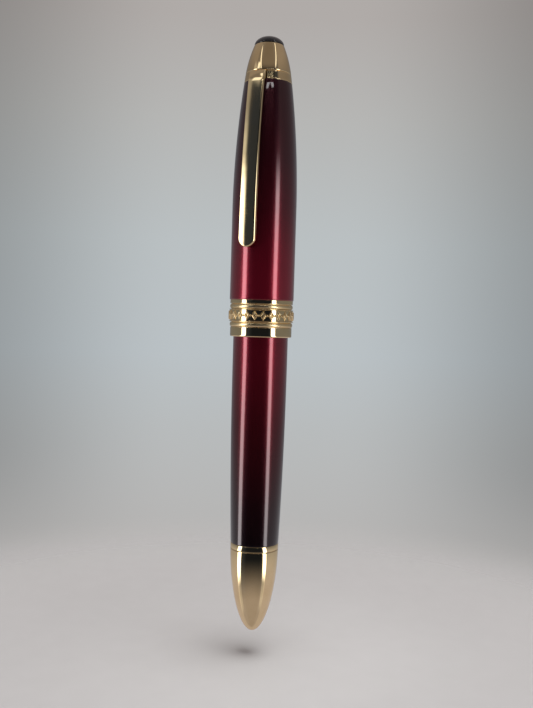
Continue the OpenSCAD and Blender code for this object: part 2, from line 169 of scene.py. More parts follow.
def lacquer_material(low_z, high_z):
    """Burgundy lacquer over metal, with a painted red sheen: black at the ends, red round the band.
    """
    made, nodes, shader = material(
        "burgundy_lacquer", Metallic=0.7, Coat_Weight=1.0, Coat_Roughness=0.012, Coat_IOR=1.52)
    height = nodes.dot(nodes.place(), (0, 0, 1))
    along = nodes.ease(height, low_z, high_z)
    along.node.interpolation_type = "LINEAR"
    # Painted sheen: the base colour is black towards both ends and brightest red near the camera's
    # height, standing in for light glowing in the lacquer
    lacquer_with_painted_sheen = nodes.ramp(along, [
        (0.00, (0.012, 0.002, 0.004)),
        (0.08, (0.026, 0.002, 0.005)),
        (0.25, (0.100, 0.003, 0.009)),
        (0.39, (0.200, 0.005, 0.018)),
        (0.54, (0.285, 0.007, 0.026)),
        (0.62, (0.255, 0.006, 0.023)),
        (0.72, (0.125, 0.004, 0.013)),
        (0.83, (0.060, 0.003, 0.008)),
        (1.00, (0.036, 0.003, 0.007)),
    ], "LINEAR")
    cloud = nodes.ease(nodes.noise(260.0), 0.3, 0.7, 0.0, 0.06)
    nodes.put(nodes.mix(cloud, lacquer_with_painted_sheen, (0.02, 0.001, 0.003, 1.0)), shader.inputs["Base Color"])
    nodes.put(nodes.ease(nodes.noise(900.0), 0.3, 0.7, 0.23, 0.26), shader.inputs["Roughness"])
    # The base metal is turned: fine rings under the lacquer
    turned = nodes.noise(1.0, 2.0, nodes.stretched((300.0, 300.0, 16000.0)))
    nodes.put(nodes.bump(turned, 0.05, 0.00002), shader.inputs["Normal"])
    return made


def metal_material(name, colour, worn, rough, grain=(900.0, 900.0, 900.0), relief=0.03):
    """Polished or turned metal with faint wear in its shine."""
    made, nodes, shader = material(name, Metallic=1.0)
    patch = nodes.noise(1.0, 4.0, nodes.stretched((210.0, 210.0, 210.0)))
    nodes.put(nodes.mix(nodes.ease(patch, 0.35, 0.75), (*colour, 1.0), (*worn, 1.0)),
              shader.inputs["Base Color"])
    nodes.put(nodes.ease(patch, 0.3, 0.7, rough[0], rough[1]), shader.inputs["Roughness"])
    scratches = nodes.noise(1.0, 5.0, nodes.stretched(grain))
    nodes.put(nodes.bump(scratches, relief, 0.00002), shader.inputs["Normal"])
    return made


def plastic_material(name, colour, shade, rough, grain=1500.0, relief=0.05, **sockets):
    """Resin, plastic or rubber with a fine surface grain."""
    made, nodes, shader = material(name, **sockets)
    patch = nodes.noise(240.0, 3.0)
    nodes.put(nodes.mix(nodes.ease(patch, 0.3, 0.7), (*colour, 1.0), (*shade, 1.0)),
              shader.inputs["Base Color"])
    nodes.put(nodes.ease(patch, 0.3, 0.7, rough[0], rough[1]), shader.inputs["Roughness"])
    nodes.put(nodes.bump(nodes.noise(grain, 4.0), relief, 0.00003), shader.inputs["Normal"])
    return made


def clear_material():
    """Grey clear resin of the ink chamber."""
    made, nodes, shader = material("clear_resin", Transmission_Weight=1.0, IOR=1.49)
    cloud = nodes.ease(nodes.noise(180.0), 0.3, 0.7)
    nodes.put(nodes.mix(cloud, (0.62, 0.68, 0.74, 1.0), (0.56, 0.62, 0.69, 1.0)),
              shader.inputs["Base Color"])
    nodes.put(nodes.ease(nodes.noise(700.0), 0.3, 0.7, 0.02, 0.06), shader.inputs["Roughness"])
    return made


def nib_material():
    """Two-coloured nib: gold rim and tail, plated field with an engraved border and rays."""
    made, nodes, shader = material("nib_metal", Metallic=1.0)
    split = nodes.add("ShaderNodeSeparateXYZ")
    nodes.put(nodes.add("ShaderNodeUVMap").outputs["UV"], split.inputs[0])
    across = nodes.math("MULTIPLY_ADD", split.outputs[0], 2.0, -1.0)
    across = nodes.math("ABSOLUTE", across)
    along = split.outputs[1]
    field = nodes.math("MULTIPLY", nodes.ease(across, 0.66, 0.63), nodes.ease(along, 0.33, 0.35))
    field = nodes.math("MULTIPLY", field, nodes.ease(along, 0.93, 0.90))
    nodes.put(nodes.mix(field, (0.90, 0.68, 0.34, 1.0), (0.74, 0.74, 0.76, 1.0)),
              shader.inputs["Base Color"])
    border = nodes.within(across, 0.75, 0.80, 0.01)
    border = nodes.math("MULTIPLY", border, nodes.ease(along, 0.30, 0.32))
    chevron = nodes.math("MULTIPLY_ADD", across, 2.2, nodes.math("MULTIPLY", along, 16.0))
    chevron = nodes.math("FRACT", chevron)
    rays = nodes.math("MULTIPLY", nodes.ease(nodes.math("PINGPONG", chevron, 0.5), 0.09, 0.05), field)
    rays = nodes.math("MULTIPLY", rays, nodes.ease(along, 0.62, 0.58))
    cut = nodes.math("MAXIMUM", border, rays)
    nodes.put(nodes.math("MULTIPLY_ADD", cut, 0.22, 0.13), shader.inputs["Roughness"])
    nodes.put(nodes.bump(nodes.math("SUBTRACT", 1.0, cut), 0.35, 0.00004), shader.inputs["Normal"])
    return made


node_low = {name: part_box(name)[0] / MM for name in frame["nodes"]}
node_high = {name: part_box(name)[1] / MM for name in frame["nodes"]}

LOOKS = {
    "lacquer": lacquer_material(
        node_low["barrel_shell"].z * MM, node_high["cap_shell"].z * MM),
    "gold_trim": metal_material(
        "polished_gold", (0.90, 0.71, 0.41), (0.84, 0.65, 0.36), (0.035, 0.075)),
    "brass_works": metal_material(
        "turned_brass", (0.80, 0.58, 0.26), (0.66, 0.46, 0.20), (0.16, 0.28),
        (400.0, 400.0, 9000.0), 0.2),
    "black_resin": plastic_material(
        "black_resin", (0.010, 0.010, 0.012), (0.016, 0.015, 0.017), (0.05, 0.10),
        Coat_Weight=0.6, Coat_Roughness=0.03),
    "ebonite": plastic_material(
        "ebonite", (0.020, 0.019, 0.018), (0.032, 0.029, 0.027), (0.32, 0.46), 2600.0, 0.15),
    "nib_gold": nib_material(),
    "nib_pellet": metal_material(
        "nib_pellet", (0.72, 0.72, 0.74), (0.60, 0.60, 0.62), (0.12, 0.22)),
    "clear_resin": clear_material(),
    "piston_resin": plastic_material(
        "white_plastic", (0.78, 0.78, 0.75), (0.70, 0.70, 0.67), (0.35, 0.5)),
    "seal": plastic_material(
        "dark_rubber", (0.030, 0.030, 0.032), (0.045, 0.045, 0.047), (0.5, 0.7), 1800.0, 0.2),
    "liner": plastic_material(
        "liner_plastic", (0.030, 0.030, 0.032), (0.042, 0.041, 0.043), (0.30, 0.45)),
    "steel": metal_material(
        "turned_steel", (0.62, 0.62, 0.64), (0.52, 0.52, 0.54), (0.2, 0.32),
        (400.0, 400.0, 8000.0), 0.15),
}
SATIN_GOLD = metal_material(
    "satin_gold", (0.90, 0.71, 0.41), (0.84, 0.65, 0.36), (0.26, 0.34), (600.0, 600.0, 6000.0), 0.1)
slot_of = {part["node"]: part["material_slot"] for part in frame["record"]["subparts"]}
for node_name, node_object in frame["nodes"].items():
    node_object.data.materials.clear()
    node_object.data.materials.append(LOOKS[slot_of[node_name]])


# ---------------------------------------------------------------- mesh helpers

def piece(name, verts, faces, body, slot, replaces=(), sharp=28.0, uvs=None, look=None):
    """A closed mesh given in millimetres, with smooth faces and sharp edges, on its body."""
    mesh = bpy.data.meshes.new(name)
    mesh.from_pydata([(x * MM, y * MM, z * MM) for x, y, z in verts], [], faces)
    if uvs is not None:
        layer = mesh.uv_layers.new(name="UVMap")
        for loop in mesh.loops:
            layer.data[loop.index].uv = uvs[loop.vertex_index]
    shape = bmesh.new()
    shape.from_mesh(mesh)
    bmesh.ops.remove_doubles(shape, verts=shape.verts, dist=2e-7)
    bmesh.ops.dissolve_degenerate(shape, edges=shape.edges, dist=1e-8)
    bmesh.ops.recalc_face_normals(shape, faces=shape.faces)
    shape.to_mesh(mesh)
    shape.free()
    mesh.polygons.foreach_set("use_smooth", [True] * len(mesh.polygons))
    mesh.set_sharp_from_angle(angle=math.radians(sharp))
    mesh.materials.append(look or LOOKS[slot])
    made = bpy.data.objects.new(name, mesh)
    scene.collection.objects.link(made)
    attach(made, body)
    if replaces:
        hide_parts(*replaces)
    return made


def revolve(outline, segments=160, shape=None):
    """Vertices and faces of an outline of (radius, height) turned round the axis.
    shape(angle, radius, height) may change a point's radius; angle 0 is -Y, towards the clip."""
    verts, faces, rings = [], [], []
    for radius, height in outline:
        if radius < 1e-6:
            rings.append([len(verts)] * segments)
            verts.append((0.0, 0.0, height))
            continue
        rings.append(list(range(len(verts), len(verts) + segments)))
        for k in range(segments):
            angle = TURN * k / segments
            r = shape(angle, radius, height) if shape else radius
            verts.append((r * math.sin(angle), -r * math.cos(angle), height))
    hollow = outline[0][0] > 1e-6 and outline[-1][0] > 1e-6
    for i in range(len(rings) if hollow else len(rings) - 1):
        a, b = rings[i], rings[(i + 1) % len(rings)]
        for k in range(segments):
            n = (k + 1) % segments
            corners = list(dict.fromkeys((a[k], a[n], b[n], b[k])))
            if len(corners) > 2:
                faces.append(corners)
    return verts, faces


def lathe(name, outline, body, slot, replaces=(), segments=160, shape=None, sharp=28.0, look=None):
    verts, faces = revolve(outline, segments, shape)
    return piece(name, verts, faces, body, slot, replaces, sharp, look=look)


def arc(radius_mid, height_mid, size, start, end, count=6):
    """Points on a round edge, from one angle to another in degrees; 0 points outwards, 90 up."""
    return [
        (radius_mid + size * math.cos(math.radians(start + (end - start) * i / count)),
         height_mid + size * math.sin(math.radians(start + (end - start) * i / count)))
        for i in range(count + 1)
    ]


def cad_outline(node, hollowed=False):
    """The outside of a round CAD node: its radius at each height, from the bottom up.
    Points that lie on or under the line between their neighbours belong to the inside or
    to a straight stretch and are left out, unless the outside itself is hollowed."""
    widest = {}
    for vertex in frame["nodes"][node].data.vertices:
        x, y, z = vertex.co / MM
        key = round(z, 4)
        widest[key] = max(widest.get(key, 0.0), math.hypot(x, y))
    outline = []
    for z in sorted(widest):
        point = Vector((widest[z], z))
        while len(outline) > 1 and not hollowed:
            chord = (point - outline[-2]).normalized()
            if chord.cross(outline[-1] - outline[-2]) < -2e-4:
                break
            outline.pop()
        outline.append(point)
    return [tuple(point) for point in outline]


def smoothed(points):
    """A curve through the points, with three more points between each two."""
    per_span = 4
    ends = [points[0]] + points + [points[-1]]
    out = []
    for p0, p1, p2, p3 in zip(ends, ends[1:], ends[2:], ends[3:]):
        for k in range(per_span):
            t = k / per_span
            out.append(tuple(
                0.5 * (2 * b + (c - a) * t + (2 * a - 5 * b + 4 * c - d) * t * t
                       + (3 * b - a - 3 * c + d) * t ** 3)
                for a, b, c, d in zip(p0, p1, p2, p3)))
    return out + [points[-1]]


def radius_at(outline, height):
    """Radius of an outline at a height, straight between its points."""
    for (r0, z0), (r1, z1) in zip(outline, outline[1:]):
        if z0 <= height <= z1:
            return r0 + (r1 - r0) * (height - z0) / (z1 - z0)
    return outline[0][0] if height < outline[0][1] else outline[-1][0]


def span(a, b, count):
    return [a + (b - a) * i / count for i in range(count + 1)]


def smooth(t):
    t = min(1.0, max(0.0, t))
    return t * t * (3 - 2 * t)


# ---------------------------------------------------------------- turned pieces

BAND_BORE = 7.15


def lacquered_tube(name, node, body, wall):
    """A lacquered metal tube with slightly rounded ends."""
    edge = 0.12
    outer = smoothed(cad_outline(node))
    (r0, z0), (r1, z1) = outer[0], outer[-1]
    middle = [p for p in outer if z0 + edge < p[1] < z1 - edge]
    outline = (
        [(r0 - wall, z0)]
        + arc(r0 - edge, z0 + edge, edge, -90, 0)
        + middle
        + arc(r1 - edge, z1 - edge, edge, 0, 90)
        + [(r1 - wall, z1)]
        + [(r - wall, z) for r, z in reversed(middle)]
    )
    return lathe(name, outline, body, "lacquer", (node,))


def knob():
    """Hollow gold filling knob."""
    line = cad_outline("knob_shell")
    tip, (rim_r, rim_z) = line[0][1], line[-1]
    outer = smoothed(line)[1:]
    edge, wall, hollow_z = 0.14, 0.6, 3.2
    outer = [p for p in outer if p[1] < rim_z - edge]
    inner = [(r - wall, z) for r, z in reversed(outer) if z > hollow_z]
    outline = (
        [(0.0, tip)] + outer
        + arc(rim_r - edge, rim_z - edge, edge, 0, 90)
        + [(rim_r - wall, rim_z)] + inner + [(0.0, hollow_z)]
    )
    return lathe("filling_knob", outline, "knob", "gold_trim", ("knob_shell",))


def barrel_ring():
    """Gold ring at the barrel's end, with softened edges."""
    low, high = node_low["barrel_end_ring"].z, node_high["barrel_end_ring"].z
    radius = node_high["barrel_end_ring"].x
    bore = node_high["piston_housing"].x - 0.9
    edge = 0.12
    outline = (
        [(bore, low)]
        + arc(radius - edge, low + edge, edge, -90, 0)
        + arc(radius - edge, high - edge, edge, 0, 90)
        + [(bore, high)]
    )
    return lathe("barrel_ring", outline, "barrel", "gold_trim", ("barrel_end_ring",))


def band_bead(name, node):
    """Rounded satin ring of the cap band, with a fine step at each side."""
    low, high = node_low[node].z, node_high[node].z
    step, sink = 0.1, 0.34
    shoulder = node_high[node].x - sink
    mid, half = (low + high) / 2, (high - low) / 2 - step
    outline = (
        [(BAND_BORE, low), (shoulder, low), (shoulder, low + step)]
        + [(shoulder + sink * math.cos(math.radians(a)), mid + half * math.sin(math.radians(a)))
           for a in span(-84, 84, 20)]
        + [(shoulder, high - step), (shoulder, high), (BAND_BORE, high)]
    )
    return lathe(name, outline, "cap", "gold_trim", (node,), look=SATIN_GOLD)


def plain_band(name, node, lower_edge, upper_edge, bore):
    """Plain ring of the cap band with rounded edges."""
    low, high, radius = node_low[node].z, node_high[node].z, node_high[node].x
    outline = (
        [(bore, low)]
        + arc(radius - lower_edge, low + lower_edge, lower_edge, -90, 0)
        + [(radius, z) for z in span(low + lower_edge, high - upper_edge, 4)[1:-1]]
        + arc(radius - upper_edge, high - upper_edge, upper_edge, 0, 90)
        + [(bore, high)]
    )
    return lathe(name, outline, "cap", "gold_trim", (node,))


def frieze():
    """Centre ring of the band: open lozenges and studs raised from a sunk field."""
    low, high = node_low["frieze_ring"].z, node_high["frieze_ring"].z
    mid = (low + high) / 2
    count = 24
    field, crest = 7.70, 8.04
    pitch = TURN * field / count
    half_w, half_h, stroke, stud = 0.76, 1.14, 0.46, 0.24
    rim_h, rim_r, edge = 0.16, 7.86, 0.04

    def ridge(distance, width):
        """Height of a round-topped ridge, 1 at its middle and 0 off it."""
        return math.sqrt(max(0.0, 1 - (distance / width) ** 2))

    def relief(angle, radius, height):
        if abs(radius - field) > 1e-6:
            return radius
        x = (angle * field / pitch + 0.5) % 1.0 * pitch - pitch / 2
        y = height - mid
        slant = math.hypot(1 / half_w, 1 / half_h)
        inwards = (1 - abs(x) / half_w - abs(y) / half_h) / slant
        lozenge = ridge(inwards - stroke / 2, stroke / 2)
        dot = ridge(math.hypot(abs(x) - pitch / 2, y), stud)
        return field + (crest - field) * max(lozenge, dot)

    rim = [(BAND_BORE, 0.0), (rim_r - edge, 0.0), (rim_r, edge), (rim_r, rim_h - 0.03)]
    outline = (
        [(r, low + z) for r, z in rim]
        + [(field, z) for z in span(low + rim_h + edge, high - rim_h - edge, 60)]
        + [(r, high - z) for r, z in reversed(rim)]
    )
    return lathe("frieze_band", outline, "cap", "gold_trim", ("frieze_ring",),
                 segments=count * 44, shape=relief, sharp=50.0)


def crown_pieces():
    """Gold crown over the clip ring, and the dark dome set in it."""
    outer = smoothed(cad_outline("crown"))
    low, high = outer[0][1], outer[-1][1]
    edge, foot, hole = 0.12, 0.26, node_high["crown_stud"].x + 0.02
    foot_r, top_r = radius_at(outer, low + foot), outer[-1][0]
    middle = [p for p in outer if low + foot < p[1] < high - edge]
    seat_r, seat_z = node_high["crown_dome"].x - 0.3, high - 1.0
    outline = (
        [(hole, low)]
        + arc(foot_r - foot, low + foot, foot, -90, 0)
        + middle
        + arc(top_r - edge, high - edge, edge, 20, 90, 4)
        + [(seat_r, high), (seat_r, seat_z), (hole, seat_z)]
    )
    lathe("cap_crown", outline, "cap", "gold_trim", ("crown",))
    dome = smoothed([p for p in cad_outline("crown_dome") if p[1] > high + 0.1][:-1])
    dome_r, stem_r = node_high["crown_dome"].x, seat_r - 0.03
    foot_z, top_z = node_low["crown_dome"].z, node_high["crown_dome"].z
    outline = (
        [(0.0, foot_z), (stem_r, foot_z), (stem_r, high + 0.02)]
        + [(dome_r - 0.10, high + 0.02), (dome_r - 0.03, high + 0.07)]
        + dome + [(0.0, top_z)]
    )
    lathe("cap_dome", outline, "cap", "black_resin", ("crown_dome",))


# ---------------------------------------------------------------- clip

CLIP_LOW = node_low["clip_arm"].z
RING_LOW = node_low["clip_ring"].z
RING_HIGH = node_high["clip_ring"].z
CLIP_RING = cad_outline("clip_ring")
CAP_LINE = cad_outline("cap_shell") + CLIP_RING[1:]
# The collar's notch for the clip's root: its distance from the axis and half its width
ROOT_BACK = 4.9
ROOT_SIDE = 2.15
# Above this height the clip bends in towards the collar
ROOT_BEND = RING_HIGH - 2.9
CLIP_THICK = 0.8
# How far the clip's face stands out from the cap at the root, and how much further at the end
CLIP_RISE = 0.95
CLIP_SWEEP = 0.65
# Half the clip's width, at its round free end and at its root
CLIP_END = 2.2
CLIP_TOP = 2.05


def clip_collar():
    """Ring under the crown, notched for the clip's root."""
    (r0, z0), (r1, z1) = CLIP_RING[0], CLIP_RING[-1]
    edge, hole = 0.10, node_high["crown_stud"].x + 0.02
    notch_angle = math.asin(ROOT_SIDE / r1)

    def notched(angle, radius, height):
        off = min(angle, TURN - angle)
        back = ROOT_BACK / math.cos(min(off, 1.0))
        return min(radius, back) if off < notch_angle else radius

    profile = (
        [(hole, z0), (r0 - edge - 0.4, z0)]
        + arc(r0 - edge, z0 + edge, edge, -90, 0)
        + [(r0 + (r1 - r0) * t, z0 + (z1 - z0) * t) for t in span(0.1, 0.9, 8)]
        + arc(r1 - edge, z1 - edge, edge, 0, 90)
        + [(hole, z1)]
    )
    return lathe("clip_collar", profile, "cap", "gold_trim", ("clip_ring",),
                 segments=288, shape=notched)


def cap_radius(z):
    """Radius of the cap, and of the clip ring above it, under the clip."""
    return radius_at(CAP_LINE, z)


def clip_face(z):
    """Distance of the clip face's middle line from the pen's axis."""
    rise = CLIP_RISE + CLIP_SWEEP * max(0.0, (RING_HIGH - z) / (RING_HIGH - CLIP_LOW)) ** 1.5
    fall = max(0.0, z - ROOT_BEND) / (RING_HIGH - ROOT_BEND)
    return cap_radius(z) + rise * math.sqrt(max(0.0, 1 - fall * fall))


def clip_back(z):
    """Distance of the clip's underside from the pen's axis."""
    gap = 0.1
    if z > RING_LOW + gap:
        return ROOT_BACK + gap
    return max(cap_radius(z) + 0.14, clip_face(z) - CLIP_THICK)


def clip_half_width(z):
    """Half the clip's width, which narrows evenly towards the root."""
    return CLIP_END + (CLIP_TOP - CLIP_END) * (z - CLIP_LOW) / (RING_HIGH - CLIP_LOW)


def clip_point(station, inset, outer):
    """A point on the face or the back, at a station of the edge and a share of the way in."""
    bevel, bevel_drop, crowning = 0.13, 0.26, 0.10
    side, z, angle = station
    if angle is None:
        x = side * clip_half_width(z) * (1 - inset)
    else:
        x = CLIP_END * (1 - inset) * math.cos(angle)
        z = CLIP_LOW + CLIP_END + CLIP_END * (1 - inset) * math.sin(angle)
    if not outer:
        return x, -clip_back(z), z
    slope = min(1.0, inset / bevel)
    drop = bevel_drop * (1 - math.sin(math.radians(90 * slope))) + crowning * (x / CLIP_END) ** 2
    drop *= min(1.0, 0.25 + (clip_face(z) - cap_radius(z)) / CLIP_RISE)
    return x, -(clip_face(z) - drop), z


def clip_spring():
    """Spring clip: a long bevelled strip with a slightly crowned face and a round end."""
    # Stations along the edge: down the left side, round the free end and up the right side
    heights = (span(CLIP_LOW + CLIP_END, ROOT_BEND, 46)[:-1] + span(ROOT_BEND, RING_LOW + 0.05, 6)
               + span(RING_LOW + 0.15, RING_HIGH - 0.1, 14))
    bend = [math.radians(a) for a in span(180, 360, 28)]
    route = [(-1.0, z, None) for z in reversed(heights)]
    route += [(0.0, 0.0, a) for a in bend[1:-1]]
    route += [(1.0, z, None) for z in heights]
    insets = [0.0, 0.02, 0.045, 0.07, 0.10, 0.13, 0.17, 0.30, 0.45, 0.62, 0.80, 1.0]
    verts, faces = [], []
    for outer in (True, False):
        for inset in insets:
            verts += [clip_point(station, inset, outer) for station in route]
    count, layers = len(route), len(insets)
    for side in (0, 1):
        for k in range(layers - 1):
            for i in range(count - 1):
                a = (side * layers + k) * count + i
                faces.append((a, a + 1, a + 1 + count, a + count))
    lower = layers * count
    for i in range(count - 1):
        faces.append((i, i + 1, lower + i + 1, lower + i))
    # The root's top face closes both ends of the strip
    left = [k * count for k in range(layers)]
    right = [k * count + count - 1 for k in range(layers)]
    top = left + right[::-1][1:]
    faces.append(tuple(top + [lower + v for v in reversed(top)]))
    piece("clip_spring", verts, faces, "clip", "gold_trim", ("clip_arm",), sharp=40.0)


def clip_foot():
    """Small round foot under the clip's free end."""
    foot_z = CLIP_LOW + 2.6
    near, far = cap_radius(foot_z) + 0.1, clip_face(foot_z) - CLIP_THICK + 0.05
    rounded = [(0.0, 0.0), (0.5, 0.02), (0.8, 0.08), (1.0, 0.25)]
    profile = [(r, near + rise) for r, rise in rounded] + [(1.3, far), (0.0, far)]
    verts, faces = revolve(profile, 40)
    # The foot's axis points away from the pen
    verts = [(x, -z, foot_z + y) for x, y, z in verts]
    piece("clip_foot", verts, faces, "clip", "gold_trim")


# ---------------------------------------------------------------- section, thread, window

CAP_THREAD_PITCH = 0.9
CAP_THREAD_STARTS = 3
CAP_THREAD_FADE = 0.5


def thread_shape(root, crest, pitch, starts, low, high, fade):
    """Radius of a screw thread that runs out at both ends, for revolve."""
    half_tooth, flank = 0.36, 0.2

    def shape(angle, radius, height):
        if abs(radius - root) > 1e-6 or not low < height < high:
            return radius
        phase = ((height - low) / pitch - starts * angle / TURN) % 1.0
        tooth = smooth((half_tooth - abs(phase - 0.5)) / flank)
        ends = min(smooth((height - low) / fade), smooth((high - height) / fade))
        return root + (crest - root) * tooth * ends
    return shape


def cap_thread_shape(root, crest, low, high):
    return thread_shape(
        root, crest, CAP_THREAD_PITCH, CAP_THREAD_STARTS, low, high, CAP_THREAD_FADE)


def screw_collar():
    """Gold collar with the many-start thread that the cap screws on to."""
    low, high = node_low["thread_collar"].z, node_high["thread_collar"].z
    root, crest, bore = 6.0, node_high["thread_collar"].x, 5.47
    edge, rim = 0.1, 0.2
    outline = (
        [(bore, low)] + arc(root - edge, low + edge, edge, -90, 0)
        + [(root, z) for z in span(low + 0.7, high - 0.5, 110)]
        + arc(root - rim, high - rim, rim, 0, 90) + [(bore, high)]
    )
    shape = cap_thread_shape(root, crest, low + 0.8, high - 0.6)
    return lathe("cap_thread", outline, "barrel", "gold_trim", ("thread_collar",),
                 segments=180, shape=shape, sharp=60.0)


def drive_spindle():
    """Threaded brass tube turned by the knob."""
    low, high = node_low["spindle"].z, node_high["spindle"].z
    crest, bore, lacquer_with_painted_sheen, relief = node_high["spindle"].x, 2.0, 0.3, 0.2
    pitch, starts, fade, threaded = 0.75, 2, 0.3, 14
    root = crest - lacquer_with_painted_sheen
    start = node_low["barrel_end_ring"].z + relief
    end = node_low["barrel_end_ring"].z + threaded
    outline = (
        [(bore, low), (crest, low), (crest, start - relief)]
        + [(root, z) for z in span(start, end, 240)]
        + [(crest, end + relief), (crest, high), (bore, high)]
    )
    shape = thread_shape(root, crest, pitch, starts, start, end, fade)
    return lathe("drive_spindle", outline, "knob", "brass_works", ("spindle",),
                 segments=96, shape=shape, sharp=60.0)


def ink_chamber():
    """Clear ink chamber, narrower at the window."""
    low, high = node_low["reservoir"].z, node_high["reservoir"].z
    wide, neck, bore = node_high["reservoir"].x, 5.45, 4.8
    shoulder = node_low["thread_collar"].z - 0.1
    outline = [
        (bore, low), (wide, low), (wide, shoulder), (neck, shoulder), (neck, high), (bore, high)]
    return lathe("ink_window", outline, "barrel", "clear_resin", ("reservoir",))


def window_stripes():
    """Dark upright stripes moulded into the window's wall."""
    stripes, share, inner, outer = 18, 0.52, 4.95, 5.3
    z0, z1 = node_high["thread_collar"].z - 0.5, node_high["reservoir"].z - 0.15
    half = TURN / stripes * share / 2
    verts, faces = [], []
    for k in range(stripes):
        base = len(verts)
        middle = TURN * (k + 0.5) / stripes
        ring = [(r, middle + half * s) for r, s in
                ((inner, -1), (inner, 0), (inner, 1), (outer, 1), (outer, 0), (outer, -1))]
        for z in (z0, z1):
            verts += [(r * math.sin(a), -r * math.cos(a), z) for r, a in ring]
        sides = len(ring)
        faces.append(tuple(base + i for i in range(sides)))
        faces.append(tuple(base + sides + i for i in reversed(range(sides))))
        for i in range(sides):
            n = (i + 1) % sides
            faces.append((base + i, base + n, base + sides + n, base + sides + i))
    piece("window_stripes", verts, faces, "barrel", "black_resin")


def grip_section():
    """Black grip section, waisted, with a flared and rounded lip."""
    start = node_high["reservoir"].z - 0.01
    outer = smoothed([p for p in cad_outline("section", True) if p[0] > 4.3 and p[1] > start])
    low, high = node_low["section"].z, node_high["section"].z
    bore, bore_depth, rear_bore, plug = 3.99, 14, 2.2, node_high["piston_seal"].x
    rear_z = outer[0][1]
    outline = (
        [(rear_bore, low), (plug, low), (plug, rear_z), (outer[0][0] - 0.08, rear_z)]
        + [p for p in outer if p[1] > rear_z + 0.08 and p[0] > bore + 0.35]
        + [(bore, high), (bore, high - bore_depth), (rear_bore, high - bore_depth)]
    )
    return lathe("grip_section", outline, "barrel", "black_resin", ("section",), sharp=40.0)


# ---------------------------------------------------------------- nib and feed

NIB_BASE = node_high["section"].z
NIB_TAIL = node_low["nib"].z
NIB_POINT = node_high["nib"].z
NIB_HALF = node_high["nib"].x
NIB_SHEET = 0.3
TANG_R = 3.25
TUBE_R = 4.4
LEAN = math.tan(math.radians(6.1))
NIB_SHOULDER = NIB_BASE + 4.5
HOLE_Z = NIB_BASE + 7.7
HOLE_R = 0.55
SLIT = 0.045


def nib_curve(z):
    """Radius of the nib's sheet at height z, and the place of its centre of curvature."""
    radius = TANG_R + (TUBE_R - TANG_R) * smooth((z - NIB_BASE) / 4.0)
    top = -TANG_R + 0.05 * smooth((z - NIB_BASE) / 2.0) + max(0.0, z - NIB_BASE) * LEAN
    return radius, top + radius


def nib_half_width(z):
    """Half the nib's width: it swells to the shoulder and narrows to the point."""
    tail, point = TANG_R - 0.4, 0.32
    if z < NIB_SHOULDER:
        rise = max(0.0, z - NIB_BASE) / (NIB_SHOULDER - NIB_BASE)
        return tail + (NIB_HALF - tail) * math.sin(math.radians(90 * rise))
    run = (z - NIB_SHOULDER) / (NIB_POINT - NIB_SHOULDER)
    return point + (NIB_HALF - point) * math.cos(math.radians(90 * run)) ** 1.25


def nib_gap(z):
    """Half the width that is cut away at the nib's middle, for the hole and the slit."""
    if z <= HOLE_Z - HOLE_R + 1e-6:
        return 0.0
    if z < HOLE_Z + HOLE_R:
        return max(SLIT, math.sqrt(max(0.0, HOLE_R ** 2 - (z - HOLE_Z) ** 2)))
    return SLIT


def nib():
    """Curved nib sheet in two mirrored halves that part at the breather hole and the slit."""
    rows = (
        span(NIB_TAIL, HOLE_Z - HOLE_R, 40)
        + [HOLE_Z - HOLE_R * math.cos(math.radians(a)) for a in span(8, 172, 18)]
        + span(HOLE_Z + HOLE_R, NIB_POINT, 44)
    )
    across, edge, slope = 14, 0.02, 0.05
    tip_length, tip_extra = 3, 0.12
    verts, faces, uvs = [], [], []
    for side in (1, -1):
        base = len(verts)
        for z in rows:
            radius, centre = nib_curve(z)
            half, inner = nib_half_width(z), nib_gap(z)
            widest = NIB_HALF if z < NIB_SHOULDER else half
            sheet = NIB_SHEET + tip_extra * smooth((z - NIB_POINT + tip_length) / tip_length)
            for lacquer_with_painted_sheen in (0.0, sheet):
                for k in range(across + 1):
                    # The upper face's outer edge is slightly chamfered
                    chamfered = lacquer_with_painted_sheen == 0.0 and k == across
                    x = inner + (half - inner) * k / across - (edge if chamfered else 0.0)
                    angle = math.asin(min(0.999, x / radius))
                    r = radius - lacquer_with_painted_sheen - (slope if chamfered else 0.0)
                    verts.append((side * r * math.sin(angle), centre - r * math.cos(angle), z))
                    uvs.append((0.5 + side * 0.5 * x / widest,
                                (z - NIB_TAIL) / (NIB_POINT - NIB_TAIL)))
        width = across + 1
        stride = 2 * width
        for i in range(len(rows) - 1):
            a = base + i * stride
            b = a + stride
            for k in range(across):
                faces.append((a + k, a + k + 1, b + k + 1, b + k))
                faces.append((a + width + k, a + width + k + 1, b + width + k + 1, b + width + k))
            faces.append((a + across, a + width + across, b + width + across, b + across))
            if nib_gap(rows[i + 1]) > 0:
                faces.append((a, a + width, b + width, b))
        for a in (base, base + (len(rows) - 1) * stride):
            for k in range(across):
                faces.append((a + k, a + k + 1, a + width + k + 1, a + width + k))
    piece("nib_sheet", verts, faces, "barrel", "nib_gold", ("nib",), sharp=35.0, uvs=uvs)


def nib_pellet():
    """Hard pellet on the point, split by the slit."""
    low, high = node_low["nib_tip"], node_high["nib_tip"]
    middle = (low + high) / 2
    size = (high.x - low.x) / 2
    split, squash = 0.05, 0.9
    outline = (
        [(0.0, split)]
        + [(size * math.cos(math.radians(a)), split + (size - split) * math.sin(math.radians(a)))
           for a in span(0, 90, 8)[:-1]]
        + [(0.0, size)]
    )
    half_verts, half_faces = revolve(outline, 32)
    verts, faces = [], []
    for side in (1, -1):
        base = len(verts)
        verts += [(middle.x + side * z, middle.y + x, middle.z + y * squash)
                  for x, y, z in half_verts]
        faces += [tuple(base + v for v in face) for face in half_faces]
    piece("nib_pellet", verts, faces, "barrel", "nib_pellet", ("nib_tip",))


